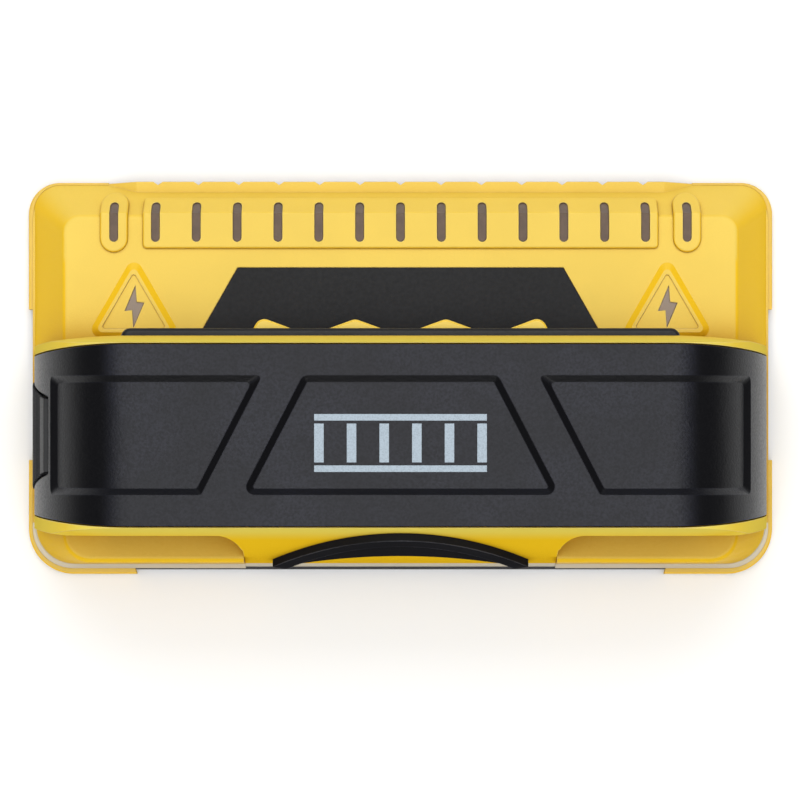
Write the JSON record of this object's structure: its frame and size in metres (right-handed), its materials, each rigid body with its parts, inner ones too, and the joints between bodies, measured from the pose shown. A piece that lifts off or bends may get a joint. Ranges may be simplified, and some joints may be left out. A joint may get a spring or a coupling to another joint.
{
  "type": "stud finder",
  "caption": "Wide wall scanner with indicator slots, a bridge handle with a hinged battery cover, and a thumb button.",
  "frame": {"origin": "middle of the outline on the resting surface, with the scanner lying on its back", "axes": "+X along the handle to the right, +Y towards the indicator slots, +Z out of the front"},
  "size_m": [0.1808, 0.0952, 0.052],
  "materials": {
    "shell_yellow": "fine satin moulded",
    "ridge_yellow": "fine satin moulded",
    "bumper_yellow": "soft matte",
    "plate_black": "fine texture",
    "pad_grey": "short felt",
    "label_black": "smooth film",
    "smoked_lens": "smoked translucent",
    "board_green": "solder mask",
    "copper": "tarnished sheet",
    "led_white": "clear",
    "led_red": "clear",
    "chip_black": "moulded epoxy",
    "screw_steel": "zinc plated",
    "spring_steel": "nickel plated",
    "grip_rubber": "soft satin",
    "switch_grey": "moulded",
    "switch_plunger": "moulded",
    "cradle_black": "moulded",
    "battery_wrap": "printed film wrap, plain",
    "lead_red": "insulated wire",
    "lead_black": "insulated wire",
    "cover_black": "fine spark-eroded texture",
    "latch_black": "fine texture",
    "button_black": "soft satin"
  },
  "bodies": {
    "base": {"front_shell": "shell_yellow", "back_plate": "plate_black", "bumper_top_left": "bumper_yellow", "bumper_top_right": "bumper_yellow", "bumper_bottom_left": "bumper_yellow", "bumper_bottom_right": "bumper_yellow", "glide_pads": "pad_grey", "front_label": "label_black", "lens_strip": "smoked_lens", "end_lens_left": "smoked_lens", "end_lens_right": "smoked_lens", "flash_lens_left": "smoked_lens", "flash_lens_right": "smoked_lens", "led_baffle": "plate_black", "main_board": "board_green", "sensor_plates": "copper", "indicator_leds": "led_white", "warning_leds": "led_red", "controller_chip": "chip_black", "board_parts": "chip_black", "board_screws": "screw_steel", "base_screws": "screw_steel", "handle_screws": "screw_steel", "handle_shell": "shell_yellow", "finger_rest": "ridge_yellow", "grip_strip": "grip_rubber", "cover_hinge_pin": "screw_steel", "button_bezel": "button_black", "switch_body": "switch_grey", "switch_board": "board_green", "switch_leads": "lead_black", "battery_cradle": "cradle_black", "battery_1": "battery_wrap", "battery_2": "battery_wrap", "battery_springs": "spring_steel", "battery_contacts": "spring_steel", "battery_lead_red": "lead_red", "battery_lead_black": "lead_black"},
    "cover": {"battery_cover": "cover_black"},
    "latch": {"cover_latch": "latch_black"},
    "button": {"thumb_button": "button_black", "switch_plunger": "switch_plunger"}
  },
  "joints": [
    {"name": "cover_hinge", "type": "hinge", "parent": "base", "child": "cover", "pos_m": [0.0863, -0.0141, 0.0116], "axis": [0, 1, 0], "range_deg": [0, 75]},
    {"name": "latch_slide", "type": "slide", "parent": "cover", "child": "latch", "axis": [0, 0, 1], "range_m": [0, 0.0015], "stiffness_N_per_m": 600, "springref_m": -0.0005},
    {"name": "button_press", "type": "slide", "parent": "base", "child": "button", "axis": [0, 0.9787, -0.2055], "range_m": [0, 0.0012], "stiffness_N_per_m": 1500, "springref_m": -0.0006}
  ]
}
